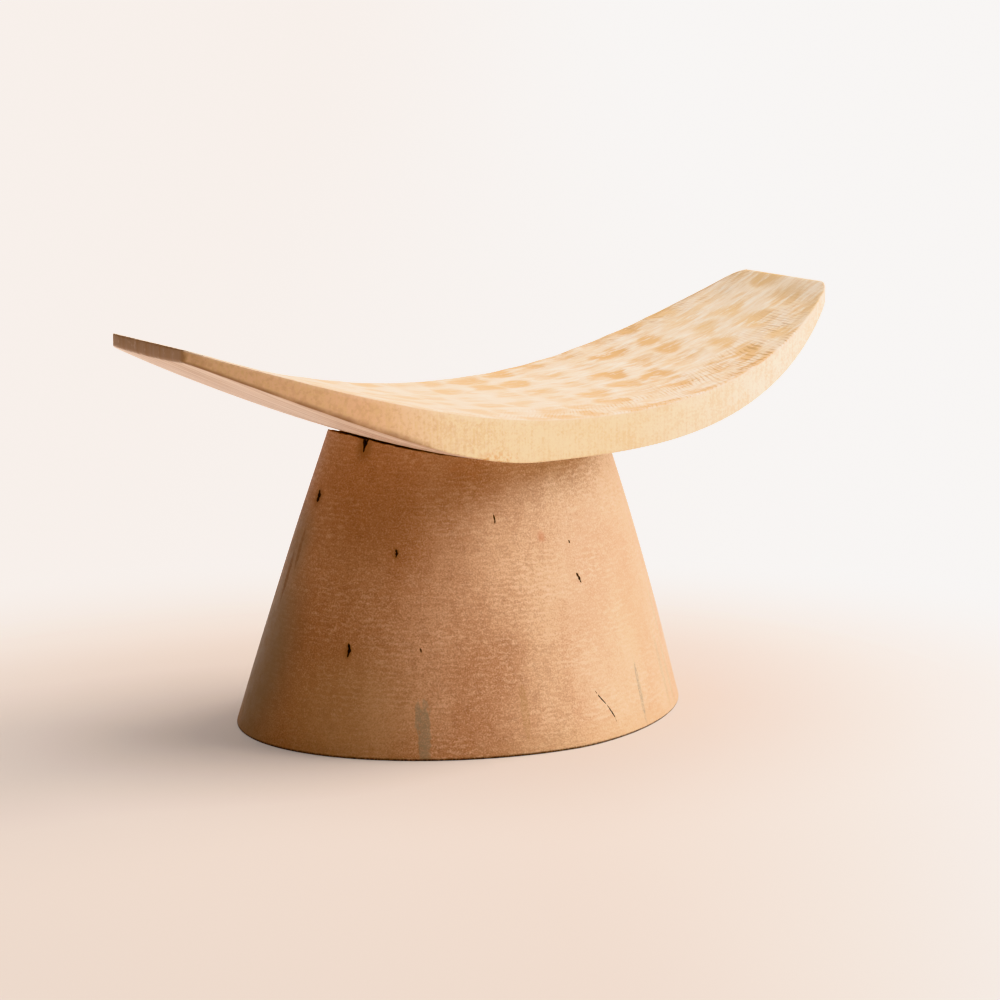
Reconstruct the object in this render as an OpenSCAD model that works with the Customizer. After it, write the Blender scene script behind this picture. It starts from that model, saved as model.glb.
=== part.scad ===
// Headrest in two woods: a curved rest board, glued and dowelled to a tapered pedestal.
// The origin is on the surface it stands on, under the middle of the board's length.
// +X runs along the board, +Y to its back and +Z up. All sizes are in millimetres.

/* [Board outline] */
// Length of the board from tip to tip
board_len = 300; // [280:1:320]
// Width of the board at its widest place
board_w = 114; // [100:1:124]
// Width of the left tip
left_tip_w = 61; // [40:1:76]
// Width of the right tip
right_tip_w = 58; // [40:1:76]
// Distance of the widest place to the right of the middle
widest_x = 3; // [-8:1:8]
// How full the left half of the outline is, 2 being a parabola
left_fullness = 3.5; // [2:0.1:5]
// How full the right half of the outline is
right_fullness = 3.8; // [2:0.1:5]
// Distance of the board's middle in front of the pedestal's
board_forward = 2.5; // [0:0.5:5]
// Radius of the tips' corners in plan
corner_r = 6; // [1:0.5:8]
// Easing of all the board's long edges
board_ease = 0.8; // [0.3:0.1:1.2]

/* [Board profile] */
// Height of the lowest part of the top face
seat_z = 125; // [118:1:132]
// Distance of that lowest part to the right of the middle
seat_x = 11; // [0:1:20]
// Rise of the left tip above it
left_rise = 35; // [28:0.5:44]
// Rise of the right tip above it
right_rise = 40; // [28:0.5:44]
// How wide the bend into the left wing is, 0 being a sharp bend
left_bend = 0.63; // [0.3:0.01:1.5]
// How late the right wing turns up, 2 being a parabola
right_sweep = 2.3; // [1.8:0.1:3]
// Thickness of the long edges at the middle
middle_t = 15.8; // [14:0.2:20]
// Thickness of the left tip
left_tip_t = 5; // [3:0.1:6]
// Thickness of the right tip
right_tip_t = 5.2; // [3:0.1:6]
// Distance of the underside's lowest part to the left of the middle
under_left = 10; // [0:1:20]
// How wide the underside's bend into the left wing is
left_under_bend = 0.35; // [0.2:0.01:1.5]
// How late the underside turns up on the right
right_under_sweep = 2.95; // [2:0.05:3.2]
// How much lower the underside is along its middle line than at its edges
crown = 2.3; // [0:0.1:4]

/* [Pedestal] */
// Length of the base
base_len = 193; // [170:1:210]
// Depth of the base
base_depth = 155; // [120:1:170]
// Length of the tapering block at the height of the seat
neck_len = 114; // [90:1:130]
// Depth of the tapering block at the height of the seat
neck_depth = 67; // [55:1:90]
// Distance of the pedestal to the left of the board's middle
pedestal_left = 7; // [0:0.5:15]
// How far the walls swell outwards halfway up
belly = 1; // [0:0.1:4]
// Easing of the bottom edge
base_ease = 1; // [0.5:0.1:3]

/* [Joint between board and pedestal] */
// Diameter of the two dowels
dowel_d = 10; // [8:1:12]
// Length of each dowel
dowel_len = 34; // [26:1:40]
// Distance between the dowels
dowel_spacing = 50; // [30:1:60]
// Wood left over each dowel hole in the board
dowel_cover = 7; // [5:0.5:9]
// Height of the open seam at the pedestal's left end
open_seam = 0.9; // [0:0.1:1.5]

/* [Hidden] */

half_len = board_len / 2;
board_y = -board_forward;
under_x = -under_left;
under_middle_z = seat_z - middle_t;
pedestal_x = -pedestal_left;
glue_t = 0.15; // glue line between the two woods
hole_slack = 0.1; // the holes' radius over the dowels'
end_slack = 1; // air at each end of a dowel
dowel_chamfer = 1;
// Exponents of the pedestal's rounded outline, 2 being an ellipse
base_left_corner = 1.98;
base_right_corner = 1.66;
neck_corner = 1.96;
seam_shut_x = -25; // the open seam has closed here
seam_sweep = 1.5; // and it widens from there as this power of the distance
board_stations = 48;
under_strips = 8;
round_strips = 48;
wall_rings = 8;
cap_rings = 4;
rim_tries = 5; // steps in finding where the wall meets the board

function mix(a, b, share) = a + (b - a) * share;

// How far x is from a place near the middle towards a tip, from 0 to 1.
function share_from(place, x) = abs(x - place) / (half_len - sign(x - place) * place);

// The board's half width at x.
function corner_cut(x) =
    let (inside = max(0, corner_r - (half_len - abs(x))))
    corner_r - sqrt(pow(corner_r, 2) - pow(inside, 2));
function full_half_w(x) =
    let (tip_w = x < widest_x ? left_tip_w : right_tip_w,
         fullness = x < widest_x ? left_fullness : right_fullness)
    mix(board_w, tip_w, pow(share_from(widest_x, x), fullness)) / 2;
function half_w(x) = full_half_w(x) - corner_cut(x);

// The heights of its faces. The left wing is nearly straight past its bend; the right one curves.
function past_bend(share, bend) =
    (sqrt(pow(bend, 2) + pow(share, 2)) - bend) / (sqrt(pow(bend, 2) + 1) - bend);
function top_z(x) =
    let (share = share_from(seat_x, x))
    seat_z + (x < seat_x
        ? left_rise * past_bend(share, left_bend)
        : right_rise * pow(share, right_sweep));
function under_edge_z(x) =
    let (share = share_from(under_x, x))
    under_middle_z + (x < under_x
        ? (left_rise - left_tip_t + middle_t) * past_bend(share, left_under_bend)
        : (right_rise - right_tip_t + middle_t) * pow(share, right_under_sweep));
function under_z(x, across) =
    under_edge_z(x) - crown * (1 - pow(across, 2)) * pow(full_half_w(x) * 2 / board_w, 2);

// One closed section of the board, from the front edge of its top and round by the back.
function board_section(x) =
    let (w = half_w(x), ease = board_ease, top = top_z(x), low = under_edge_z(x))
    [for (p = concat(
            [[-w, top - ease], [-w + ease, top], [w - ease, top], [w, top - ease], [w, low + ease]],
            [for (i = [0 : under_strips])
                let (across = 1 - 2 * i / under_strips)
                [across * (w - ease), under_z(x, across)]],
            [[-w, low + ease]]))
        [x, board_y + p[0], p[1]]];

// The pedestal: a point of its wall at an angle and a height.
function wall_half(base, neck, z) =
    let (share = z / seat_z) mix(base, neck, share) / 2 + belly * 4 * share * (1 - share);
function rounded(value, exponent) = sign(value) * pow(abs(value), 2 / exponent);
function wall_xy(angle, z, inset = 0) =
    let (base_corner = cos(angle) < 0 ? base_left_corner : base_right_corner,
         exponent = mix(base_corner, neck_corner, z / seat_z))
    [pedestal_x + (wall_half(base_len, neck_len, z) - inset) * rounded(cos(angle), exponent),
     (wall_half(base_depth, neck_depth, z) - inset) * rounded(sin(angle), exponent)];

// Its top face follows the board's underside, and leaves the seam open towards the left.
function seam_gap(x) =
    let (left_end = pedestal_x - wall_half(base_len, neck_len, under_middle_z))
    glue_t + open_seam * pow(max(0, (seam_shut_x - x) / (seam_shut_x - left_end)), seam_sweep);
function bed_z(p) = under_z(p[0], (p[1] - board_y) / half_w(p[0])) - seam_gap(p[0]);
function rim_z(angle, z, tries) =
    tries == 0 ? z : rim_z(angle, bed_z(wall_xy(angle, z)), tries - 1);

function wall_ring(angles, rims, share) =
    [for (i = [0 : len(angles) - 1])
        let (z = mix(base_ease, rims[i], share), p = wall_xy(angles[i], z)) [p[0], p[1], z]];
function cap_ring(rim, share) =
    [for (p = rim)
        let (q = [mix(pedestal_x, p[0], share), p[1] * share]) [q[0], q[1], bed_z(q)]];

// A closed skin over rings of points, which ends in a flat face or in an apex.
module skin(rings, apex = undef) {
    n = len(rings[0]);
    last = (len(rings) - 1) * n;
    walls = [for (j = [0 : n : last - n], i = [0 : n - 1])
        [j + i, j + (i + 1) % n, j + n + (i + 1) % n, j + n + i]];
    bottom = [for (i = [n - 1 : -1 : 0]) i];
    flat_end = [[for (i = [0 : n - 1]) last + i]];
    apex_fan = [for (i = [0 : n - 1]) [last + i, last + (i + 1) % n, last + n]];
    points = [for (ring = rings) each ring];
    polyhedron(
        is_undef(apex) ? points : concat(points, [apex]),
        concat([bottom], walls, is_undef(apex) ? flat_end : apex_fan));
}

function dowel_x(side) = pedestal_x + side * dowel_spacing / 2;
function dowel_top(side) =
    min(top_z(dowel_x(side) - dowel_d / 2), top_z(dowel_x(side) + dowel_d / 2))
        - dowel_cover - end_slack;

module dowel_hole(side) {
    translate([dowel_x(side), 0, dowel_top(side) - dowel_len - end_slack])
        cylinder(r = dowel_d / 2 + hole_slack, h = dowel_len + 2 * end_slack, $fn = 48);
}

module board() {
    color([0.93, 0.79, 0.60])
        difference() {
            skin([for (i = [0 : board_stations])
                board_section(half_len * cos(180 * i / board_stations))]);
            dowel_hole(-1);
            dowel_hole(1);
        }
}

module pedestal() {
    angles = [for (i = [0 : round_strips - 1]) -360 * i / round_strips];
    rims = [for (a = angles) rim_z(a, under_middle_z, rim_tries)];
    foot = [for (a = angles) let (p = wall_xy(a, 0, base_ease)) [p[0], p[1], 0]];
    walls = [for (j = [0 : wall_rings]) wall_ring(angles, rims, j / wall_rings)];
    caps = [for (j = [cap_rings - 1 : -1 : 1]) cap_ring(walls[wall_rings], j / cap_rings)];
    centre = [pedestal_x, 0];
    color([0.66, 0.44, 0.27])
        difference() {
            skin(concat([foot], walls, caps), [centre[0], centre[1], bed_z(centre)]);
            dowel_hole(-1);
            dowel_hole(1);
        }
}

module dowel(side) {
    translate([dowel_x(side), 0, dowel_top(side) - dowel_len])
        color([0.80, 0.64, 0.42])
            rotate_extrude($fn = 48)
                polygon([
                    [0, 0],
                    [dowel_d / 2 - dowel_chamfer, 0],
                    [dowel_d / 2, dowel_chamfer],
                    [dowel_d / 2, dowel_len - dowel_chamfer],
                    [dowel_d / 2 - dowel_chamfer, dowel_len],
                    [0, dowel_len]]);
}

module dowel_left() { dowel(-1); }
module dowel_right() { dowel(1); }

board();
pedestal();
dowel_left();
dowel_right();
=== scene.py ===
"""Headrest in two woods: the looks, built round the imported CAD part.

Shapes are worked out in millimetres, in the CAD frame, and become meshes in metres.
+X runs along the board, +Y to its back and +Z up. The surface it stands on is z = 0.
"""

import math

import bpy
import numpy as np
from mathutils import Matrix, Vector


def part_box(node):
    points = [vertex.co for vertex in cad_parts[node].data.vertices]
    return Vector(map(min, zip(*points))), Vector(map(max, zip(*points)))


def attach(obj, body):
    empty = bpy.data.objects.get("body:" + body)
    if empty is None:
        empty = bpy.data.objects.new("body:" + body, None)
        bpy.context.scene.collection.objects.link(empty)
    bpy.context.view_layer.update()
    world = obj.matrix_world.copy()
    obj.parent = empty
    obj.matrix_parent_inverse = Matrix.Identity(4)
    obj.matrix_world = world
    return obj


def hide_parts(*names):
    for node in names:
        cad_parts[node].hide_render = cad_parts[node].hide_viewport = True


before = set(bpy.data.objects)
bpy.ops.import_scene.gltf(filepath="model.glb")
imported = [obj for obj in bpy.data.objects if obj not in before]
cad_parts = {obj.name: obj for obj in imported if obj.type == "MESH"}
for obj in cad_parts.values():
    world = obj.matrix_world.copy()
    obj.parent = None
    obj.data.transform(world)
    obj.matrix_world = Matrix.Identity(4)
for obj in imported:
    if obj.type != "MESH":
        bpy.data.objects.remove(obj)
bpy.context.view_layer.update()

MM = 0.001


def box_mm(node):
    """The low and high corners of a CAD node's box, in millimetres."""
    low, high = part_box(node)
    return np.array(low) / MM, np.array(high) / MM


# ---------------------------------------------------------------- sizes, in millimetres
BOARD_LOW, BOARD_HIGH = box_mm("board")
FOOT_LOW, FOOT_HIGH = box_mm("pedestal")

# The board's outline
HALF_LEN = (BOARD_HIGH[0] - BOARD_LOW[0]) / 2
BOARD_W = BOARD_HIGH[1] - BOARD_LOW[1]
BOARD_Y = (BOARD_HIGH[1] + BOARD_LOW[1]) / 2
LEFT_TIP_W = 61.0
RIGHT_TIP_W = 58.0
WIDEST_X = 3.0
LEFT_FULLNESS = 3.5
RIGHT_FULLNESS = 3.8
CORNER_R = 6.0

# The board's profile
SEAT_Z = 125.0
SEAT_X = 11.0
LEFT_RISE = 35.0
RIGHT_RISE = BOARD_HIGH[2] - SEAT_Z
LEFT_BEND = 0.63
RIGHT_SWEEP = 2.3
MIDDLE_T = 15.8
LEFT_TIP_T = 5.0
RIGHT_TIP_T = 5.2
UNDER_X = -10.0
LEFT_UNDER_BEND = 0.35
RIGHT_UNDER_SWEEP = 2.95
CROWN = 2.3

# The pedestal
BELLY = 1.0
# The wall has more sides than the CAD's, so it is this much smaller, to stay inside the CAD's box
ROUNDER_BY = 0.1
BASE_LEN = FOOT_HIGH[0] - FOOT_LOW[0] - ROUNDER_BY
BASE_DEPTH = 155.0 - ROUNDER_BY
NECK_LEN = 114.0
NECK_DEPTH = 67.0
PEDESTAL_X = -7.0
BASE_LEFT_CORNER = 1.98
BASE_RIGHT_CORNER = 1.66
NECK_CORNER = 1.96
BASE_EASE = 1.0
GLUE_T = 0.15
OPEN_SEAM = 0.9
SEAM_SHUT_X = -25.0
SEAM_SWEEP = 1.5


# ---------------------------------------------------------------- formulas of the CAD shape
def mix(a, b, share):
    return a + (b - a) * share


def smooth(low, high, value):
    """Rises smoothly from 0 at low to 1 at high, or falls where low is the larger."""
    share = np.clip((value - low) / (high - low), 0, 1)
    return share * share * (3 - 2 * share)


def share_from(place, x):
    """How far x is from a place near the middle towards a tip, from 0 to 1."""
    return np.minimum(np.abs(x - place) / (HALF_LEN - np.sign(x - place) * place), 1)


def full_half_w(x):
    """The board's half width, as if its corners were not rounded."""
    tip_w = np.where(x < WIDEST_X, LEFT_TIP_W, RIGHT_TIP_W)
    fullness = np.where(x < WIDEST_X, LEFT_FULLNESS, RIGHT_FULLNESS)
    return mix(BOARD_W, tip_w, share_from(WIDEST_X, x) ** fullness) / 2


def half_w(x):
    inside = np.clip(CORNER_R - (HALF_LEN - np.abs(x)), 0, CORNER_R)
    return full_half_w(x) - (CORNER_R - np.sqrt(CORNER_R**2 - inside**2))


def past_bend(share, bend):
    """A rise from 0 to 1 that is nearly straight past a bend of the given width."""
    return (np.hypot(bend, share) - bend) / (math.hypot(bend, 1) - bend)


def top_z(x):
    share = share_from(SEAT_X, x)
    left = LEFT_RISE * past_bend(share, LEFT_BEND)
    right = RIGHT_RISE * share**RIGHT_SWEEP
    return SEAT_Z + np.where(x < SEAT_X, left, right)


def under_edge_z(x):
    """Height of the underside along the board's long edges."""
    share = share_from(UNDER_X, x)
    left = (LEFT_RISE - LEFT_TIP_T + MIDDLE_T) * past_bend(share, LEFT_UNDER_BEND)
    right = (RIGHT_RISE - RIGHT_TIP_T + MIDDLE_T) * share**RIGHT_UNDER_SWEEP
    return SEAT_Z - MIDDLE_T + np.where(x < UNDER_X, left, right)


def under_z(x, across):
    """Height of the underside, with across from -1 at the front edge to 1 at the back."""
    return under_edge_z(x) - CROWN * (1 - across**2) * (full_half_w(x) * 2 / BOARD_W) ** 2


def wall_half(base, neck, z):
    """Half the pedestal's length or depth at a height, from those of its base and its neck."""
    share = z / SEAT_Z
    return mix(base, neck, share) / 2 + BELLY * 4 * share * (1 - share)


def wall_xy(angle, z, inset=0.0):
    """A point of the pedestal's wall. The angle is in radians, and negative in front."""
    base_corner = np.where(np.cos(angle) < 0, BASE_LEFT_CORNER, BASE_RIGHT_CORNER)
    power = 2 / mix(base_corner, NECK_CORNER, z / SEAT_Z)
    c, s = np.cos(angle), np.sin(angle)
    x = (wall_half(BASE_LEN, NECK_LEN, z) - inset) * np.sign(c) * np.abs(c) ** power
    y = (wall_half(BASE_DEPTH, NECK_DEPTH, z) - inset) * np.sign(s) * np.abs(s) ** power
    return PEDESTAL_X + x, y


def wall_depth(x, y, z):
    """How far a point is inside the pedestal's wall, along the line to its middle."""
    base_corner = np.where(x < PEDESTAL_X, BASE_LEFT_CORNER, BASE_RIGHT_CORNER)
    exponent = mix(base_corner, NECK_CORNER, z / SEAT_Z)
    across_x = np.abs(x - PEDESTAL_X) / wall_half(BASE_LEN, NECK_LEN, z)
    across_y = np.abs(y) / wall_half(BASE_DEPTH, NECK_DEPTH, z)
    reach = (across_x**exponent + across_y**exponent) ** (1 / exponent)
    return np.hypot(x - PEDESTAL_X, y) * (1 / np.maximum(reach, 0.01) - 1)


def bed_z(x, y):
    """The pedestal's top face, which follows the underside and leaves the seam open at the left."""
    left_end = PEDESTAL_X - wall_half(BASE_LEN, NECK_LEN, SEAT_Z - MIDDLE_T)
    open_share = np.clip((SEAM_SHUT_X - x) / (SEAM_SHUT_X - left_end), 0, None)
    gap = GLUE_T + OPEN_SEAM * open_share**SEAM_SWEEP
    return under_z(x, (y - BOARD_Y) / half_w(x)) - gap


# ---------------------------------------------------------------- mesh helpers
SHARP_ANGLE = math.radians(40)
BUMP_WAVES = 7


def ring_mesh(name, rings, apex=None):
    """A closed mesh over rings of points in millimetres. It ends in a flat face or in an apex."""
    count, size = rings.shape[:2]
    here = np.arange(size)
    beyond = (here + 1) % size
    walls = [
        np.stack([j * size + here, j * size + beyond,
                  (j + 1) * size + beyond, (j + 1) * size + here], 1)
        for j in range(count - 1)
    ]
    faces = np.concatenate(walls).tolist()
    faces.append(here[::-1].tolist())
    points = rings.reshape(-1, 3)
    last = (count - 1) * size
    if apex is None:
        faces.append((last + here).tolist())
    else:
        points = np.vstack([points, apex])
        faces += [[last + i, last + (i + 1) % size, last + size] for i in range(size)]
    mesh = bpy.data.meshes.new(name)
    mesh.from_pydata((points * MM).tolist(), [], faces)
    mesh.update()
    piece = bpy.data.objects.new(name, mesh)
    bpy.context.scene.collection.objects.link(piece)
    return piece


def cut(piece, cutters):
    """Cuts closed meshes out of a piece and removes them."""
    for cutter in cutters:
        modifier = piece.modifiers.new("cut", "BOOLEAN")
        modifier.operation = "DIFFERENCE"
        modifier.solver = "MANIFOLD"
        modifier.object = cutter
    graph = bpy.context.evaluated_depsgraph_get()
    made = bpy.data.meshes.new_from_object(piece.evaluated_get(graph))
    piece.modifiers.clear()
    piece.data = made
    for cutter in cutters:
        bpy.data.objects.remove(cutter)


def finish_mesh(piece, material):
    piece.data.materials.clear()
    piece.data.materials.append(material)
    piece.data.shade_smooth()
    piece.data.set_sharp_from_angle(angle=SHARP_ANGLE)


def points_mm(piece):
    """A piece's vertices, in millimetres."""
    found = np.empty(len(piece.data.vertices) * 3, np.float32)
    piece.data.vertices.foreach_get("co", found)
    return found.reshape(-1, 3).astype(float) / MM


def store(piece, name, values, domain="POINT"):
    """Keeps one number for each vertex or face, which a material reads by its name."""
    attribute = piece.data.attributes.new(name, "FLOAT", domain)
    attribute.data.foreach_set("value", np.asarray(values, np.float32))


def highest_of_faces(piece, values):
    """The highest of the vertices' values on each face."""
    starts = np.empty(len(piece.data.polygons), np.int32)
    corners = np.empty(len(piece.data.loops), np.int32)
    piece.data.polygons.foreach_get("loop_start", starts)
    piece.data.loops.foreach_get("vertex_index", corners)
    return np.maximum.reduceat(values[corners], starts)


def bumps(u, v, seed):
    """A smooth uneven field, mostly between -1 and 1, one unit being one hump."""
    draw = np.random.default_rng(seed)
    total = 0.0
    for _ in range(BUMP_WAVES):
        turn = draw.uniform(0, math.tau)
        rate = draw.uniform(1.6, 4.4)
        shift = draw.uniform(0, math.tau)
        total = total + np.sin((u * math.cos(turn) + v * math.sin(turn)) * rate + shift)
    return total / math.sqrt(BUMP_WAVES)


# ---------------------------------------------------------------- holes for the dowels
DOWELS = ("dowel_left", "dowel_right")
HOLE_SLACK = 0.1
END_SLACK = 1.0
HOLE_POINTS = 48


def dowel_holes():
    """Closed cylinders that are a little larger than the two CAD dowels."""
    around = np.linspace(0, math.tau, HOLE_POINTS, endpoint=False)
    holes = []
    for node in DOWELS:
        low, high = box_mm(node)
        centre = (low + high) / 2
        radius = (high[0] - low[0]) / 2 + HOLE_SLACK
        x = centre[0] + radius * np.cos(around)
        y = centre[1] + radius * np.sin(around)
        ends = (low[2] - END_SLACK, high[2] + END_SLACK)
        rings = [np.column_stack([x, y, np.full(HOLE_POINTS, z)]) for z in ends]
        holes.append(ring_mesh("hole", np.stack(rings)))
    return holes


# ---------------------------------------------------------------- the carving of the top face
# The grid of gouge cuts: its middle, its steps and how far a column leans per mm of y
GOUGE_X = -2.5
GOUGE_Y = 5.0
GOUGE_STEP_X = 16.3
GOUGE_STEP_Y = 20.4
GOUGE_SLANT = 0.21
GOUGE_DEPTH = 0.85
GOUGE_COLUMNS = range(-10, 11)
GOUGE_ROWS = range(-3, 4)
# How rounded the ridge between two cuts is, and the brown part of a cut over its size, which is partly
# wood tone and partly painted shade in the cut
RIDGE_ROUND = 0.003
BROWN_LENGTH = 0.68
BROWN_WIDTH = 0.75
MARK_PITCH = 1.35
MARK_DEPTH = 0.08


def gouges():
    """Middle, half length, half width, turn, depth and tint of each gouge cut of the top face."""
    draw = np.random.default_rng(4)
    found = []
    for column in GOUGE_COLUMNS:
        for row in GOUGE_ROWS:
            y = GOUGE_Y + GOUGE_STEP_Y * row + draw.uniform(-2.5, 2.5)
            x = GOUGE_X + GOUGE_STEP_X * column + GOUGE_SLANT * y + draw.uniform(-2, 2)
            reach = (draw.uniform(13, 17), draw.uniform(10, 12.5))
            turn = math.radians(draw.uniform(62, 96))
            depth = GOUGE_DEPTH * draw.uniform(0.65, 1.15)
            found.append((x, y, *reach, turn, depth, draw.uniform(0.4, 1)))
    return np.array(found)


def from_edges(x, y):
    """Distances to the front edge, the back edge and the nearer tip."""
    w = full_half_w(x)
    return y - BOARD_Y + w, BOARD_Y + w - y, HALF_LEN - np.abs(x)


def carve_share(x, y):
    """How much of the cuts is left near the edges and the tips, where the carving runs out."""
    front, back, tip = from_edges(x, y)
    return (mix(0.1, 1, smooth(0.5, 8, front)) * mix(0.6, 1, smooth(0, 5, back))
            * mix(0.05, 1, smooth(0, 14, tip)))


def carve_cuts(x, y):
    """Depth of the gouge cuts, and how brown a cut is painted there, from 0 to 1: partly wood tone,
    partly painted shade in the cut.
    """
    depth, brown = np.zeros_like(x), np.zeros_like(x)
    x_off = x + 2.0 * bumps(x / 8, y / 8, 31)
    y_off = y + 2.2 * bumps(x / 8, y / 8, 32)
    for gx, gy, length, width, turn, deep, tint in gouges():
        c, s = math.cos(turn), math.sin(turn)
        along = ((x - gx) * c + (y - gy) * s) / length
        across = (-(x - gx) * s + (y - gy) * c) / width
        cut_depth = deep * np.clip(1 - along**2 - across**2, 0, 1)
        # the deeper of two cuts counts, with a slightly rounded ridge where they meet
        depth = 0.5 * (depth + cut_depth + np.sqrt((depth - cut_depth) ** 2 + RIDGE_ROUND))
        along = ((x_off - gx) * c + (y_off - gy) * s) / (BROWN_LENGTH * length)
        across = (-(x_off - gx) * s + (y_off - gy) * c) / (BROWN_WIDTH * width)
        brown = np.maximum(brown, tint * np.clip(1.15 - along**2 - across**2, 0, 1))
    return depth, brown


def front_marks(x, y):
    """Count across the tooth marks that slant in from the front edge, and their strength."""
    front, _, tip = from_edges(x, y)
    lean = np.clip(0.56 - 0.0043 * x, 0.05, 0.9)
    count = (x - y * lean + 0.7 * bumps(x / 16, y / 16, 41)) / MARK_PITCH
    patchy = np.clip(0.7 + 0.5 * bumps(x / 8, y / 9, 42), 0.2, 1)
    strong = np.interp(x, (-60, 0, 30), (0.3, 0.8, 1)) * smooth(38, 14, front)
    return count, strong * patchy * mix(0.1, 1, smooth(5, 40, tip))


def back_marks(x, y):
    """The same for the marks that cross the back edge."""
    _, back, tip = from_edges(x, y)
    lean = 0.2 + 0.003 * x
    count = (x + y * lean + 0.5 * bumps(x / 14, y / 14, 51)) / (1.15 * MARK_PITCH)
    patchy = np.clip(0.7 + 0.5 * bumps(x / 7, y / 7, 52), 0.2, 1)
    strong = np.interp(x, (-60, 0, 40), (0.3, 0.7, 1)) * smooth(20, 9, back)
    return count, strong * patchy * mix(0.3, 1, smooth(5, 35, tip))


def carve(x, y):
    """Depth of the carving below the CAD top face, in millimetres."""
    cuts, _ = carve_cuts(x, y)
    cuts = cuts * carve_share(x, y)
    front, back, _ = from_edges(x, y)
    inside = mix(0.4, 1, smooth(0, 4, np.minimum(front, back)))
    # the finest marks are left to the material: every second one is cut here
    for count, strong in (front_marks(x, y), back_marks(x, y)):
        cuts = cuts + MARK_DEPTH * strong * inside * (0.5 - 0.5 * np.cos(math.pi * count))
    return cuts


# ---------------------------------------------------------------- board
STATION_STEP = 0.5
TOP_POINTS = 100
SIDE_POINTS = 7
UNDER_POINTS = 15
EDGE_STEPS = 3
TOP_EDGE_R = 0.7
LOW_EDGE_R = 0.6
END_EDGE_R = 1.0


def edge_arc(y, z, radius, start):
    """Columns of an eased edge inside the corner (y, z): a quarter circle without its ends."""
    turns = math.radians(start) - np.linspace(0, math.pi / 2, EDGE_STEPS + 2)[1:-1]
    y_centre = y - np.sign(y) * radius
    z_centre = z + (-radius if start in (90, 180) else radius)
    return [(y_centre + radius * math.cos(t), z_centre + radius * math.sin(t)) for t in turns]


def board_stations():
    """Places of the sections and how far each is inset, for the eased edge round each tip."""
    reach = HALF_LEN - END_EDGE_R
    middle = np.linspace(-reach, reach, int(2 * reach / STATION_STEP))
    turn = np.linspace(0, math.pi / 2, EDGE_STEPS + 2)[1:]
    end = reach + END_EDGE_R * np.sin(turn)
    end_inset = END_EDGE_R * (1 - np.cos(turn))
    x = np.concatenate([-end[::-1], middle, end])
    return x, np.concatenate([end_inset[::-1], 0 * middle, end_inset])


def board_rings():
    """Closed sections of the board: top from front to back, back side, underside, front side."""
    x, inset = board_stations()
    w = half_w(x) - inset
    low = under_edge_z(x) + inset
    top_y = (w - TOP_EDGE_R)[:, None] * np.linspace(-1, 1, TOP_POINTS)
    top = (top_z(x) - inset)[:, None] - carve(x[:, None] + 0 * top_y, BOARD_Y + top_y)
    under_y = (w - LOW_EDGE_R)[:, None] * np.linspace(1, -1, UNDER_POINTS)
    under = under_z(x[:, None], under_y / w[:, None]) + inset[:, None]
    front = top[:, 0] - TOP_EDGE_R
    back = top[:, -1] - TOP_EDGE_R
    down = np.linspace(0, 1, SIDE_POINTS)
    columns = [
        *zip(top_y.T, top.T),
        *edge_arc(w, top[:, -1], TOP_EDGE_R, 90),
        *[(w, mix(back, low + LOW_EDGE_R, share)) for share in down],
        *edge_arc(w, low, LOW_EDGE_R, 0),
        *zip(under_y.T, under.T),
        *edge_arc(-w, low, LOW_EDGE_R, 270),
        *[(-w, mix(low + LOW_EDGE_R, front, share)) for share in down],
        *edge_arc(-w, top[:, 0], TOP_EDGE_R, 180),
    ]
    return np.stack([np.column_stack([x, BOARD_Y + y, z]) for y, z in columns], 1)


def make_board():
    board = ring_mesh("rest_board", board_rings())
    cut(board, dowel_holes())
    x, y, z = points_mm(board).T
    depth, brown = carve_cuts(x, y)
    # faces are told apart by how far a point is from the top and from the outline
    on_top = smooth(-0.8, -0.2, z - top_z(x) + carve(x, y))
    side = smooth(-0.6, -0.3, np.abs(y - BOARD_Y) - half_w(x)) * (1 - on_top)
    up_share = (z - under_edge_z(x)) / (top_z(x) - under_edge_z(x))
    store(board, "cut_depth", depth / GOUGE_DEPTH)
    store(board, "gouge_spot_and_shade", brown * on_top)
    for name, (count, strong) in (("front", front_marks(x, y)), ("back", back_marks(x, y))):
        store(board, name + "_count", count)
        store(board, name + "_strength", strong * on_top)
    _, back, _ = from_edges(x, y)
    store(board, "far_rim", on_top * smooth(4, 0.5, back) * smooth(20, 70, x))
    store(board, "top_face", on_top)
    store(board, "side_face", side)
    # painted shade along the lower edge of the side
    store(board, "low_side_shade", side * smooth(0.24, 0.05, up_share))
    finish_mesh(board, pale_wood())
    return board


# ---------------------------------------------------------------- pedestal
ROUND_POINTS = 300
WALL_RINGS = 118
CAP_RINGS = 10
WALL_UNEVEN = 0.14
SEAM_UNEVEN = 0.45
RIM_TRIES = 6
SPLIT_RINGS = 13
SPLIT_PROUD = 0.3


def rim_heights(angle):
    """Where the wall meets the board, found in a few steps."""
    z = np.full_like(angle, SEAT_Z - MIDDLE_T)
    for _ in range(RIM_TRIES):
        z = bed_z(*wall_xy(angle, z))
    return z


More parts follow.
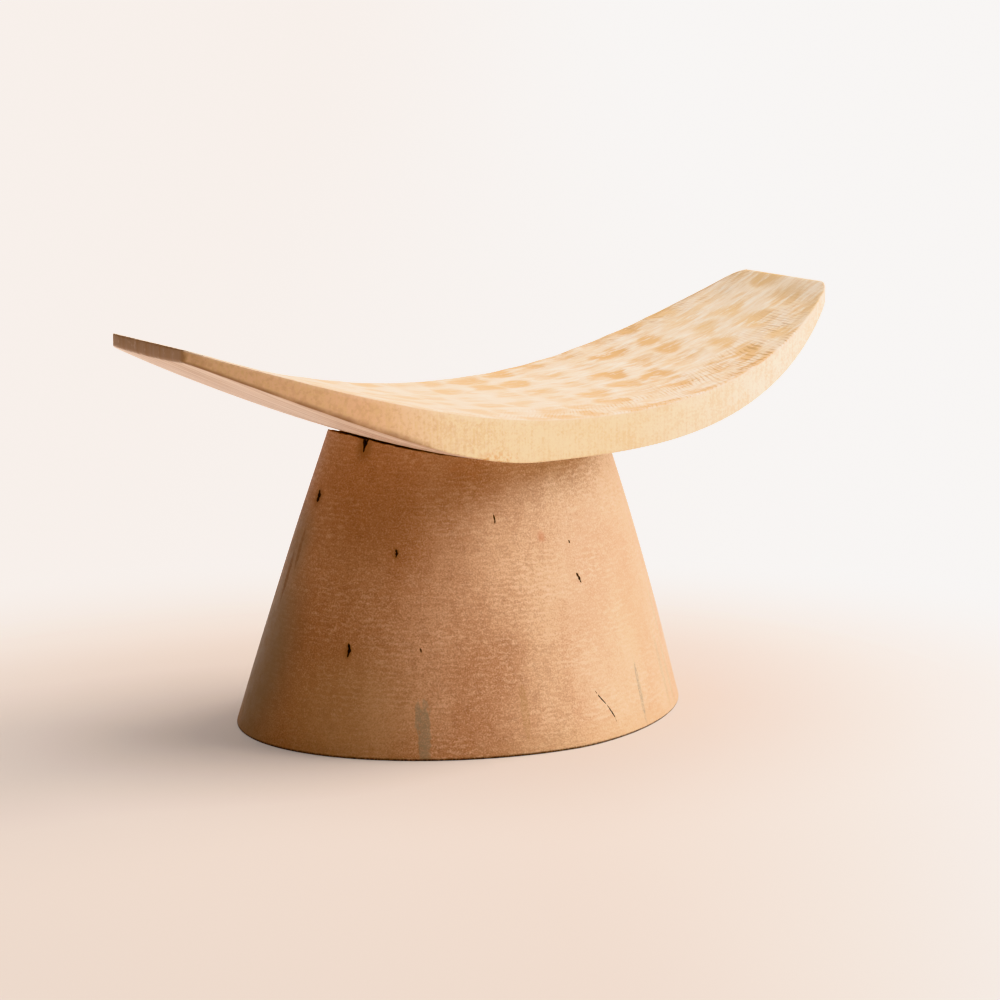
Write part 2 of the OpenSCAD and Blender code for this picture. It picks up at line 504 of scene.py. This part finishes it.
def pedestal_rings():
    """Rings of the pedestal: its eased foot, its uneven wall, and the bed under the board."""
    angle = -np.linspace(0, math.tau, ROUND_POINTS, endpoint=False)
    even_rim = rim_heights(angle)
    rim_x, _ = wall_xy(angle, even_rim)
    torn = SEAM_UNEVEN * smooth(-20, -50, rim_x) * (1 + bumps(24 * angle, 5, 6)) / 2
    rim = even_rim - torn
    rings = []
    for turn in np.linspace(0, math.pi / 2, EDGE_STEPS + 2)[:-1]:
        z = np.full_like(angle, BASE_EASE * (1 - math.cos(turn)))
        rings.append(np.column_stack([*wall_xy(angle, z, BASE_EASE * (1 - math.sin(turn))), z]))
    for share in np.linspace(0, 1, WALL_RINGS):
        z = mix(BASE_EASE, rim, share)
        uneven = WALL_UNEVEN * (1 + bumps(2.5 * np.cos(angle), 2.5 * np.sin(angle) + z / 26, 5)) / 2
        inset = uneven * smooth(0, 0.05, share) * smooth(1, 0.97, share)
        rings.append(np.column_stack([*wall_xy(angle, z, inset), z]))
    edge = rings[-1]
    for share in np.linspace(1, 0, CAP_RINGS + 1)[1:-1]:
        x, y = mix(PEDESTAL_X, edge[:, 0], share), edge[:, 1] * share
        rings.append(np.column_stack([x, y, bed_z(x, y)]))
    return np.array(rings)


def wall_point(angle_deg, z):
    """A point of the wall as three numbers, from an angle in degrees and a height."""
    x, y = wall_xy(np.array(math.radians(angle_deg)), np.array(float(z)))
    return np.array([float(x), float(y), float(z)])


def wall_out(angle_deg, z):
    """The direction straight out of the wall."""
    side = wall_point(angle_deg + 1, z) - wall_point(angle_deg - 1, z)
    up = wall_point(angle_deg, z + 1) - wall_point(angle_deg, z - 1)
    out = np.cross(side, up)
    return out / np.linalg.norm(out)


def wall_turn(angle_deg, z):
    """The turn in degrees that stands an upright thing along the wall's slope."""
    up = Vector(wall_point(angle_deg, z + 3) - wall_point(angle_deg, z - 3))
    return tuple(math.degrees(a) for a in up.to_track_quat("Z", "Y").to_euler())


def path_point(knots, share):
    """The point at a share of the way through evenly counted knots."""
    share = min(max(share, 0), 1)
    spread = np.linspace(0, 1, len(knots))
    return np.array([np.interp(share, spread, knots[:, i]) for i in range(3)])


def split_cutter(places, width, depth):
    """A wedge that follows the wall through the places (angle, z), for a split in the wood."""
    knots = np.array([wall_point(angle, z) for angle, z in places])
    outs = np.array([wall_out(angle, z) for angle, z in places])
    rings = []
    for share in np.linspace(0, 1, SPLIT_RINGS):
        middle = path_point(knots, share)
        out = path_point(outs, share)
        side = np.cross(path_point(knots, share + 0.01) - path_point(knots, share - 0.01), out)
        side = side / np.linalg.norm(side)
        # thin at both ends, and uneven in a way that differs from split to split
        swell = 0.1 + 0.9 * math.sin(math.pi * share) ** 0.6
        swell = swell * (1 + 0.25 * math.sin(17 * share + 3 * width))
        rings.append([
            middle + side * width / 2 * swell + out * SPLIT_PROUD,
            middle - out * depth * swell,
            middle - side * width / 2 * swell + out * SPLIT_PROUD,
        ])
    return ring_mesh("split", np.array(rings))


# Splits of the wall: places (angle in degrees, z) along each, its width and its depth
SPLITS = [
    ([(-158.4, 119.5), (-157.4, 116), (-157.0, 111.5)], 1.5, 1.4),
    ([(-154.6, 118.6), (-156.2, 115.5), (-156.8, 113)], 1.1, 1.2),
    ([(-181.2, 96), (-180.2, 93.5), (-180.8, 91)], 2.4, 1.8),
    ([(-138.3, 77), (-137.8, 75.4), (-138.1, 73.6)], 1.3, 1.0),
    ([(-151.2, 42), (-150.6, 39.5), (-151.0, 36.6)], 1.5, 1.2),
    ([(-129.4, 41), (-129.1, 39.2)], 1.1, 0.8),
    ([(-105.0, 89), (-104.6, 86), (-104.8, 84.5)], 0.8, 0.7),
    ([(-76.9, 63.6), (-76.0, 61.4), (-75.5, 59.2)], 1.4, 1.0),
    ([(-77.0, 75.8), (-76.8, 74.2)], 1.0, 0.7),
    ([(-78.8, 20.4), (-77.4, 17.5), (-74.6, 13), (-72.6, 8.5), (-71.9, 5.4)], 0.85, 0.8),
]


def make_pedestal():
    apex = np.array([PEDESTAL_X, 0, float(bed_z(np.array(PEDESTAL_X), np.array(0.0)))])
    pedestal = ring_mesh("pedestal_block", pedestal_rings(), apex)
    cut(pedestal, dowel_holes() + [split_cutter(*split) for split in SPLITS])
    x, y, z = points_mm(pedestal).T
    depth = wall_depth(x, y, z) - WALL_UNEVEN
    # in a split, and not in the dowel holes, at the foot or on the bed
    inside = (depth > 0.12) & (depth < 5) & (z > 2) & (z < bed_z(x, y) - 0.4)
    # faces inside the splits, which the material paints near black as shade
    store(pedestal, "in_split", highest_of_faces(pedestal, inside * 1.0), "FACE")
    finish_mesh(pedestal, brown_wood())
    return pedestal


# ---------------------------------------------------------------- material helpers
SPECULAR = 0.35


class Tree:
    """A material's nodes, with short calls for the kinds that the woods use."""

    def __init__(self, name):
        self.material = bpy.data.materials.new(name)
        self.material.use_nodes = True
        self.nodes = self.material.node_tree.nodes
        self.nodes.clear()
        self.coords = self.add("ShaderNodeTexCoord").outputs["Object"]

    def add(self, kind, inputs=None, **settings):
        made = self.nodes.new(kind)
        for name, value in settings.items():
            setattr(made, name, value)
        for name, value in (inputs or {}).items():
            self.set(made.inputs[name], value)
        return made

    def set(self, socket, value):
        if isinstance(value, bpy.types.NodeSocket):
            self.material.node_tree.links.new(value, socket)
        else:
            socket.default_value = value

    def place(self, size, offset=(0, 0, 0), turn=(0, 0, 0)):
        """Coordinates in which one unit is the given size in millimetres along each axis."""
        return self.add(
            "ShaderNodeMapping",
            {"Vector": self.coords, "Location": tuple(MM * o for o in offset),
             "Rotation": tuple(math.radians(t) for t in turn), "Scale": tuple(MM * s for s in size)},
            vector_type="TEXTURE").outputs[0]

    def noise_at(self, where, detail, roughness, seed):
        made = self.add(
            "ShaderNodeTexNoise",
            {"Vector": where, "W": seed, "Scale": 1.0, "Detail": detail, "Roughness": roughness},
            noise_dimensions="4D")
        return made.outputs[0]

    def noise(self, size, detail=2.0, roughness=0.5, seed=0.0, turn=(0, 0, 0)):
        """Noise of about the given size in millimetres along each axis, from 0 to 1."""
        return self.noise_at(self.place(size, turn=turn), detail, roughness, seed)

    def number(self, name):
        return self.add("ShaderNodeAttribute", attribute_name=name).outputs["Fac"]

    def math(self, operation, *values):
        made = self.add("ShaderNodeMath", operation=operation)
        for socket, value in zip(made.inputs, values):
            self.set(socket, value)
        return made.outputs[0]

    def ramp(self, value, low, high, start=0.0, end=1.0):
        """Maps low..high of a value smoothly to start..end, and stops there."""
        made = self.add(
            "ShaderNodeMapRange",
            {"Value": value, "From Min": low, "From Max": high, "To Min": start, "To Max": end},
            interpolation_type="SMOOTHSTEP")
        return made.outputs[0]

    def blend(self, share, first, second, kind="MIX"):
        made = self.add("ShaderNodeMix", data_type="RGBA", blend_type=kind)
        for index, value in ((0, share), (6, first), (7, second)):
            if isinstance(value, tuple):
                value = (*value, 1.0)
            self.set(made.inputs[index], value)
        return made.outputs[2]

    def length(self, vector):
        return self.add("ShaderNodeVectorMath", {0: vector}, operation="LENGTH").outputs["Value"]

    def dot(self, vector, direction):
        made = self.add("ShaderNodeVectorMath", {0: vector, 1: direction}, operation="DOT_PRODUCT")
        return made.outputs["Value"]

    def patch(self, centre, reach, turn=(0, 0, 0)):
        """1 at a place, falling to 0 at its reach along each axis, in millimetres."""
        return self.ramp(self.length(self.place(reach, offset=centre, turn=turn)), 1.0, 0.25)

    def coordinate(self, axis):
        """One object coordinate in millimetres."""
        split = self.add("ShaderNodeSeparateXYZ", {"Vector": self.place((1, 1, 1))})
        return split.outputs["XYZ".index(axis)]

    def surface(self, colour, roughness, height, relief):
        """The finished material. The relief is in millimetres."""
        bump = self.add("ShaderNodeBump", {"Height": height, "Strength": 1.0, "Distance": relief * MM})
        shader = self.add("ShaderNodeBsdfPrincipled", {
            "Base Color": colour, "Roughness": roughness, "Normal": bump.outputs[0],
            "Specular IOR Level": SPECULAR})
        self.add("ShaderNodeOutputMaterial", {"Surface": shader.outputs[0]})
        return self.material


# ---------------------------------------------------------------- woods
CREAM = (0.94, 0.78, 0.60)
CREAM_PALE = (0.985, 0.90, 0.80)
CREAM_BROWN = (0.84, 0.61, 0.37)
# the spot colours are partly wood tone and partly painted shade; the golden one at the right tip is
# partly painted light
GOUGE_BROWN = (0.76, 0.49, 0.24)
GOUGE_DARK = (0.69, 0.42, 0.19)
GOUGE_GOLD = (0.84, 0.56, 0.27)
MARK_BROWN = (0.54, 0.29, 0.11)
SIDE_TAN = (0.68, 0.43, 0.20)
SIDE_SHADE = (0.56, 0.30, 0.16)
SIDE_LIGHT = (0.94, 0.74, 0.46)
# the side's colours towards its left and right ends are painted shade and painted light
SIDE_LEFT_SHADED = (0.72, 0.425, 0.24)
SIDE_RIGHT_LIT = (0.99, 0.88, 0.71)
UNDER_PINK = (0.98, 0.79, 0.64)
UNDER_TAN = (0.62, 0.38, 0.235)
LOW_EDGE_SHADE = (0.34, 0.18, 0.10)
END_BROWN = (0.31, 0.16, 0.08)
STAIN_ORANGE = (0.66, 0.30, 0.09)


def mark_lines(tree, edge, seed):
    """Fine broken lines of the tooth marks at one edge, from 0 to 1."""
    count = tree.number(edge + "_count")
    along = tree.math("MULTIPLY", tree.coordinate("Y"), 0.15)
    where = tree.add("ShaderNodeCombineXYZ", {"X": tree.math("MULTIPLY", count, 1.5), "Y": along})
    broken = tree.noise_at(where.outputs[0], detail=1.0, roughness=0.5, seed=seed)
    wave = tree.math("COSINE", tree.math("MULTIPLY", count, math.tau))
    shade = tree.math("MULTIPLY_ADD", wave, 0.13, broken)
    return tree.math("MULTIPLY", tree.ramp(shade, 0.45, 0.66, 0, 0.75), tree.number(edge + "_strength"))


def pale_top(tree, x):
    """Gouged top: cream with golden spots and streaks, and fine lines in the tooth marks. The spots are
    partly wood tone and partly painted shade in the cuts, and the ridges between the cuts are paler as
    painted light.
    """
    cloud = tree.noise((15, 9, 20), detail=3)
    brushed = tree.noise((7, 1, 60), detail=2, roughness=0.6, seed=5.0, turn=(0, 0, -10))
    streak = tree.noise((8, 2.2, 60), detail=4, roughness=0.7, seed=5.5, turn=(0, 0, -13))
    right = tree.ramp(x, -20.0, 80.0, 0.3, 1.0)
    # painted light: the ridges between the cuts, where the cuts are shallow, are paler
    ridge = tree.ramp(tree.math("MULTIPLY_ADD", cloud, -0.8, tree.number("cut_depth")), 0.2, -0.25)
    cream = tree.blend(ridge, CREAM, CREAM_PALE)
    # painted light: near the right tip the tan and the spots are weaker, so the tip stays light
    tip_painted_lighter = tree.ramp(x, 85.0, 125.0, 1.0, 0.8)
    # tan streaks, stronger towards the right: partly wood tone, partly painted shade on the right wing,
    # which faces away from the light
    tan = tree.math("MULTIPLY", right, tree.ramp(streak, 0.49, 0.6, 0, 0.6))
    tan = tree.math("MULTIPLY", tan, tip_painted_lighter)
    cream = tree.blend(tan, cream, CREAM_BROWN)
    # a brown spot in each cut, with a streaky edge: partly wood tone, partly painted shade
    spot = tree.math("MULTIPLY_ADD", streak, 1.5, tree.number("gouge_spot_and_shade"))
    spot = tree.math("MULTIPLY_ADD", brushed, 0.4, spot)
    golden = tree.math("MULTIPLY", tree.ramp(spot, 1.0, 1.85), tree.ramp(x, -60.0, 40.0, 0.7, 1.0))
    golden = tree.math("MULTIPLY", golden, tip_painted_lighter)
    # the spots are darker towards the right as painted shade, and golden at the right tip partly as
    # painted light
    gouge = tree.blend(tree.ramp(x, 20.0, 70.0), GOUGE_BROWN, GOUGE_DARK)
    gouge = tree.blend(tree.ramp(x, 90.0, 120.0), gouge, GOUGE_GOLD)
    top = tree.blend(golden, cream, gouge)
    # pale streaks over the spots, then the lines of the tooth marks and the brown far edge
    pale = tree.math("MULTIPLY", right, tree.ramp(streak, 0.47, 0.38, 0, 0.6))
    top = tree.blend(pale, top, CREAM_PALE)
    lines = tree.math("MAXIMUM", mark_lines(tree, "front", 8.0), mark_lines(tree, "back", 9.0))
    rim = tree.math("MULTIPLY", tree.number("far_rim"), tree.ramp(streak, 0.38, 0.58, 0, 0.7))
    return tree.blend(tree.math("MAXIMUM", lines, rim), top, MARK_BROWN), lines, brushed


def pale_body(tree, x):
    """Sides and underside: tan on the left and creamy on the right, as painted shade and painted light,
    with painted shade along the left wing's lower edge, and straight grained underneath.
    """
    upright = tree.noise((1.1, 1.1, 30), seed=3.0)
    speck = tree.noise((0.8, 0.8, 0.8), detail=2, roughness=0.6, seed=3.5)
    cloud = tree.noise((12, 12, 7), detail=3, seed=3.7)
    shade = tree.math("MULTIPLY_ADD", upright, 0.6, tree.math("MULTIPLY_ADD", cloud, 0.5, speck))
    # painted light and shade: the side is paler towards the lit right end and darker towards the shaded
    # left end
    side = tree.blend(tree.ramp(x, 10.0, 110.0, 0, 0.85), SIDE_LIGHT, SIDE_RIGHT_LIT)
    side = tree.blend(tree.ramp(x, -38.0, -90.0, 0, 0.95), side, SIDE_LEFT_SHADED)
    side = tree.blend(tree.ramp(shade, 0.92, 1.25, 0, 0.6), side, SIDE_TAN)
    mottle = tree.noise((1.7, 1.7, 1.9), detail=3, roughness=0.6, seed=3.8)
    mottled = tree.math("MULTIPLY", tree.ramp(mottle, 0.46, 0.62), tree.ramp(x, -10.0, -60.0, 0.08, 0.4))
    side = tree.blend(mottled, side, SIDE_SHADE)
    grain = tree.noise((60, 2.4, 300), detail=4, roughness=0.65, seed=4.0)
    under = tree.blend(tree.ramp(grain, 0.36, 0.74), UNDER_PINK, UNDER_TAN)
    # painted shade: the left wing's side is darkened along its lower edge
    low = tree.math("MULTIPLY", tree.number("low_side_shade"), tree.ramp(cloud, 0.3, 0.6, 0.5, 1.0))
    low = tree.math("MULTIPLY", low, tree.ramp(x, -50.0, -80.0, 0.0, 0.9))
    body = tree.blend(low, tree.blend(tree.number("side_face"), under, side), LOW_EDGE_SHADE)
    # an orange stain low on the front side
    stain = tree.math("MULTIPLY", tree.patch((-33, -59, 110), (15, 12, 7)), tree.ramp(mottle, 0.4, 0.6))
    return tree.blend(tree.math("MULTIPLY", stain, 0.8), body, STAIN_ORANGE)


def pale_wood():
    tree = Tree("pale_wood")
    x = tree.coordinate("X")
    top, lines, brushed = pale_top(tree, x)
    colour = tree.blend(tree.number("top_face"), pale_body(tree, x), top)

    # the left tip's end is dark, up to an uneven line on its corner
    ragged = tree.math("MULTIPLY_ADD", tree.noise((2.5, 2.5, 3), detail=2, seed=1.0), 3.0, x)
    outer = tree.math("MAXIMUM", tree.number("side_face"), tree.ramp(x, -148.9, -149.6))
    dark = tree.math("MULTIPLY", tree.ramp(ragged, -146.9, -148.3, 0, 0.88), outer)
    colour = tree.blend(dark, colour, END_BROWN)
    relief = tree.math("SUBTRACT", brushed, tree.math("MULTIPLY", lines, 0.7))
    roughness = tree.ramp(brushed, 0.3, 0.7, 0.52, 0.72)
    return tree.surface(colour, roughness, relief, 0.09)


BROWN_LIGHT = (0.62, 0.385, 0.215)
BROWN_DARK = (0.47, 0.25, 0.125)
BROWN_SHADE = (0.24, 0.11, 0.05)
RIPPLE_PALE = (0.84, 0.60, 0.38)
GREY_STAIN = (0.35, 0.275, 0.185)
DARK_STREAK = (0.23, 0.17, 0.11)
RED_SPOT = (0.45, 0.17, 0.07)
OLIVE_SHADE = (0.31, 0.205, 0.125)
GOLD_STAIN = (0.40, 0.22, 0.085)
# near black, used for painted shade along the foot and inside the splits
SHADE_BLACK = (0.025, 0.013, 0.009)
# tints of painted shade at the left end and painted light at the right end
SHADED_LEFT_TINT = (1.02, 0.90, 0.93)
LIT_RIGHT_TINT = (1.0, 1.08, 1.10)

# Soft changes of colour of the wall: angle in degrees, z, reach along it and upwards, colour, strength
CLOUDS = [
    # partly painted shadow of the board over the upper left, partly darker wood
    (-150, 104, 75, 55, BROWN_SHADE, 0.32),
    (-150, 16, 40, 34, BROWN_LIGHT, 0.4),
    (-192, 30, 34, 70, OLIVE_SHADE, 0.9),
    (-190, 76, 16, 24, OLIVE_SHADE, 0.6),
    (-53, 42, 20, 26, GOLD_STAIN, 0.2),
    (-80, 2, 70, 9, GOLD_STAIN, 0.25),
    (-157, 114, 4.5, 10, BROWN_SHADE, 0.75),
    (-180.5, 93, 4, 6, BROWN_SHADE, 0.55),
    (-151, 39, 2.2, 4.5, BROWN_SHADE, 0.55),
    (-138, 75, 2, 4, BROWN_SHADE, 0.5),
    (-76, 61, 2, 4, BROWN_SHADE, 0.35),
    (-88.5, 78.5, 2.4, 3.4, RED_SPOT, 0.6),
    (-33, 28.5, 4.5, 5, BROWN_DARK, 0.6),
]
# Its ragged stains, given in the same way
STAINS = [
    (-128, 9, 3.6, 21, GREY_STAIN, 0.85),
    (-129.8, 16, 1.8, 9, GREY_STAIN, 0.85),
    (-102.5, 16, 2.6, 17, GOLD_STAIN, 0.5),
    (-59.5, 14, 2.2, 21, DARK_STREAK, 0.95),
    (-43, 18, 3.2, 24, DARK_STREAK, 0.7),
    (-38, 15, 3.2, 22, DARK_STREAK, 0.75),
    (-36, 38, 2.4, 15, DARK_STREAK, 0.75),
    (-190, 62, 2.2, 17, BROWN_SHADE, 0.9),
    (-185, 73, 1.8, 13, BROWN_SHADE, 0.7),
]


def ripple_figure(tree, colour, speck):
    """A fine wavy figure across the grain: pale lines broken into dashes, darker in between."""
    wave = tree.add(
        "ShaderNodeTexWave",
        {"Vector": tree.place((9, 9, 6.6)), "Scale": 1.0, "Distortion": 6.5, "Detail": 2.0,
         "Detail Scale": 2.0, "Detail Roughness": 0.55},
        bands_direction="Z").outputs["Fac"]
    dash = tree.noise((3.2, 3.2, 1.5), detail=2, seed=6.0)
    where = tree.noise((26, 26, 17), detail=2, seed=7.0)
    figure = tree.math("MULTIPLY_ADD", wave, 0.3, tree.math("MULTIPLY_ADD", speck, 0.35, dash))
    share = tree.ramp(where, 0.38, 0.62, 0.08, 0.33)
    pale = tree.math("MULTIPLY", share, tree.ramp(figure, 0.8, 1.1))
    dark = tree.math("MULTIPLY", share, tree.ramp(figure, 0.82, 0.6))
    return tree.blend(dark, tree.blend(pale, colour, RIPPLE_PALE), BROWN_DARK), figure


def brown_wood():
    tree = Tree("brown_wood")
    cloud = tree.noise((30, 30, 55), detail=3)
    speck = tree.noise((0.6, 0.6, 0.6), detail=2, roughness=0.6, seed=2.0)
    mottle = tree.noise((4, 4, 5), detail=4, roughness=0.7, seed=4.0)
    colour = tree.blend(tree.ramp(cloud, 0.3, 0.7), BROWN_DARK, BROWN_LIGHT)
    colour = tree.blend(tree.ramp(mottle, 0.45, 0.7, 0, 0.25), colour, BROWN_SHADE)
    colour = tree.blend(tree.ramp(speck, 0.5, 0.68, 0, 0.45), colour, RIPPLE_PALE)
    colour = tree.blend(tree.ramp(speck, 0.5, 0.34, 0, 0.38), colour, BROWN_SHADE)
    colour, figure = ripple_figure(tree, colour, speck)
    # painted shade and light: the shaded left end is tinted darker and more saturated, the lit right end
    # paler
    light_and_shade_tint = tree.blend(tree.ramp(tree.coordinate("X"), -65.0, 30.0), SHADED_LEFT_TINT, LIT_RIGHT_TINT)
    colour = tree.blend(1.0, colour, light_and_shade_tint, kind="MULTIPLY")
    for angle, z, along, up, tint, strength in CLOUDS:
        patch = tree.patch(wall_point(angle, z), (along, along, up))
        colour = tree.blend(tree.math("MULTIPLY", patch, strength), colour, tint)
    torn = tree.noise((0.9, 0.9, 3.2), detail=3, roughness=0.7, seed=3.0)
    for angle, z, along, up, tint, strength in STAINS:
        patch = tree.patch(wall_point(angle, z), (along, along, up), wall_turn(angle, z))
        ragged = tree.math("MULTIPLY_ADD", speck, 0.8, tree.math("MULTIPLY_ADD", torn, 1.8, patch))
        ragged = tree.math("MULTIPLY", tree.ramp(ragged, 1.6, 2.0), tree.ramp(patch, 0.02, 0.2))
        ragged = tree.math("MULTIPLY", ragged, tree.ramp(speck, 0.36, 0.6, strength, 0.6 * strength))
        colour = tree.blend(ragged, colour, tint)
    # painted shade: a ragged dark contact shadow along the foot's edge, and the insides of the splits
    # painted near black
    at_foot = tree.ramp(tree.coordinate("Z"), 1.3, 0.4)
    foot_contact_shadow = tree.math("MULTIPLY", at_foot, tree.ramp(torn, 0.3, 0.6, 0.5, 1))
    colour = tree.blend(foot_contact_shadow, colour, SHADE_BLACK)
    colour = tree.blend(tree.number("in_split"), colour, SHADE_BLACK)
    return tree.surface(colour, tree.ramp(mottle, 0.3, 0.7, 0.48, 0.64), figure, 0.06)


DOWEL_DARK = (0.55, 0.34, 0.16)
DOWEL_LIGHT = (0.70, 0.48, 0.26)


def dowel_wood():
    tree = Tree("dowel_wood")
    grain = tree.noise((0.9, 0.9, 22), detail=3, roughness=0.6)
    colour = tree.blend(tree.ramp(grain, 0.3, 0.7), DOWEL_DARK, DOWEL_LIGHT)
    return tree.surface(colour, tree.ramp(grain, 0.3, 0.7, 0.55, 0.7), grain, 0.05)


# ---------------------------------------------------------------- camera, stage and light
TARGET = Vector((0, -2.5, 90)) * MM
VIEW_AZIMUTH = math.radians(-33.60)
VIEW_ELEVATION = math.radians(10.147)
VIEW_DISTANCE = 1.4395
LENS = 130.8
# The camera looks past the target by so many millimetres
AIM_RIGHT = 6.3
AIM_BELOW = 5.1
STAGE_STEPS = 96
RIGHT = Vector((math.cos(VIEW_AZIMUTH), math.sin(VIEW_AZIMUTH), 0))
AWAY = Vector((-math.sin(VIEW_AZIMUTH), math.cos(VIEW_AZIMUTH), 0))
UP = Vector((0, 0, 1))


def make_camera():
    back = -AWAY * math.cos(VIEW_ELEVATION) + UP * math.sin(VIEW_ELEVATION)
    tilted_up = back.cross(RIGHT)
    camera = bpy.data.objects.new("camera", bpy.data.cameras.new("camera"))
    bpy.context.scene.collection.objects.link(camera)
    camera.data.lens = LENS
    camera.data.sensor_width = 36
    camera.location = TARGET + back * VIEW_DISTANCE
    aim = TARGET + (RIGHT * AIM_RIGHT - tilted_up * AIM_BELOW) * MM
    camera.rotation_mode = "QUATERNION"
    camera.rotation_quaternion = (aim - camera.location).to_track_quat("-Z", "Y")
    camera.data.clip_start = 0.05
    camera.data.clip_end = 50
    bpy.context.scene.camera = camera


def stage_mesh(name, profile):
    """A surface of revolution about the z axis through points (radius, z)."""
    turn = np.linspace(0, math.tau, STAGE_STEPS, endpoint=False)
    points = [(r * math.cos(t), r * math.sin(t), z) for r, z in profile for t in turn]
    faces = []
    for j in range(0, (len(profile) - 1) * STAGE_STEPS, STAGE_STEPS):
        for i in range(STAGE_STEPS):
            after = (i + 1) % STAGE_STEPS
            faces.append((j + i, j + after, j + STAGE_STEPS + after, j + STAGE_STEPS + i))
    mesh = bpy.data.meshes.new(name)
    mesh.from_pydata(points, [], faces)
    mesh.shade_smooth()
    piece = bpy.data.objects.new(name, mesh)
    bpy.context.scene.collection.objects.link(piece)
    return piece


FLOOR_R = 3
CORNER_SWEEP = 1.2
WALL_TOP = 6
FLOOR_ALBEDO = (0.43, 0.355, 0.305)
FLOOR_GLOW = (0.30, 0.275, 0.26)
FLOOR_GLOW_LIT_RIGHT = (0.60, 0.72, 0.81)
HAZE = (0.955, 0.88, 0.835)
HAZE_LIT_RIGHT = (0.99, 0.965, 0.95)
HAZE_STRENGTH = 1.5
# The clear floor's middle, in millimetres away from the camera: it is before the object
HAZE_CENTRE = -140
# A scale so large that height hardly counts in a distance
FLAT = 1000


def stage_material():
    """A pale floor round the object, which fades into a light haze behind it. The haze and the floor's
    glow are brighter and whiter to the right as painted light, and the floor glows less near the
    pedestal as a painted contact shadow.
    """
    tree = Tree("stage")
    right = tree.dot(tree.place((1, 1, 1)), tuple(RIGHT))
    far = tree.length(tree.place((1, 1, FLAT), offset=(AWAY * HAZE_CENTRE).to_tuple()))
    fade = tree.ramp(far, 255.0, 450.0)
    # painted light: the haze is brighter towards the right, where the light comes from
    haze = tree.blend(tree.ramp(right, -260.0, 260.0), HAZE, HAZE_LIT_RIGHT)
    glow = tree.add("ShaderNodeEmission", {"Color": haze, "Strength": HAZE_STRENGTH})
    matt = tree.add("ShaderNodeBsdfDiffuse", {"Color": (*FLOOR_ALBEDO, 1)})
    # the floor glows, as painted fill light that weakens its shadows, whiter and brighter to the right
    # as painted light
    lift_colour = tree.blend(tree.ramp(right, 20.0, 330.0), FLOOR_GLOW, FLOOR_GLOW_LIT_RIGHT)
    near = tree.length(tree.place((1, 1, FLAT), offset=(PEDESTAL_X, 0, 0)))
    # painted contact shadow: the floor glows less near the pedestal
    glow_dimmed_near_base = tree.ramp(near, 80.0, 210.0, 0.66, 1.1)
    lift = tree.add("ShaderNodeEmission", {"Color": lift_colour, "Strength": glow_dimmed_near_base})
    floor = tree.add("ShaderNodeAddShader", {0: matt.outputs[0], 1: lift.outputs[0]})
    both = tree.add("ShaderNodeMixShader", {0: fade, 1: floor.outputs[0], 2: glow.outputs[0]})
    tree.add("ShaderNodeOutputMaterial", {"Surface": both.outputs[0]})
    return tree.material


def make_stage():
    """A round floor and, beyond it, a backdrop that curves up from its edge, in metres."""
    material = stage_material()
    floor = stage_mesh("floor", [(0.0001, 0), (0.4, 0), (1, 0), (FLOOR_R, 0)])
    corner = [
        (FLOOR_R + CORNER_SWEEP * math.sin(t), CORNER_SWEEP * (1 - math.cos(t)))
        for t in np.linspace(0, math.pi / 2, 16)
    ]
    wall = stage_mesh("backdrop", [*corner, (FLOOR_R + CORNER_SWEEP, WALL_TOP)])
    wall.visible_diffuse = False
    wall.visible_glossy = False
    for piece in (floor, wall):
        piece.data.materials.append(material)


def area_light(name, place, aim, size, power, colour):
    light = bpy.data.lights.new(name, "AREA")
    light.shape = "RECTANGLE"
    light.size, light.size_y = size
    light.energy = power
    light.color = colour
    lamp = bpy.data.objects.new(name, light)
    bpy.context.scene.collection.objects.link(lamp)
    lamp.location = place
    lamp.rotation_mode = "QUATERNION"
    lamp.rotation_quaternion = (aim - place).to_track_quat("-Z", "Y")


def make_lights():
    key = TARGET + RIGHT * 1.4 + AWAY * 0.42 + UP * 0.93
    area_light("key", key, TARGET, (2.0, 1.3), 90, (1.0, 0.95, 0.90))
    overhead = TARGET + UP * 1.6 + AWAY * 0.5
    area_light("overhead", overhead, TARGET, (1.6, 1.6), 16, (1.0, 0.95, 0.91))
    world = bpy.data.worlds.new("room")
    world.use_nodes = True
    background = world.node_tree.nodes["Background"]
    background.inputs["Color"].default_value = (1.0, 0.93, 0.88, 1)
    background.inputs["Strength"].default_value = 0.18
    bpy.context.scene.world = world
    bpy.context.scene.view_settings.view_transform = "Khronos PBR Neutral"


# ---------------------------------------------------------------- the object
make_camera()
make_stage()
make_lights()

board = make_board()
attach(board, "root")
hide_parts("board")

pedestal = make_pedestal()
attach(pedestal, "root")
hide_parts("pedestal")

dowel_material = dowel_wood()
for name in DOWELS:
    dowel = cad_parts[name]
    dowel.data.materials.clear()
    dowel.data.materials.append(dowel_material)
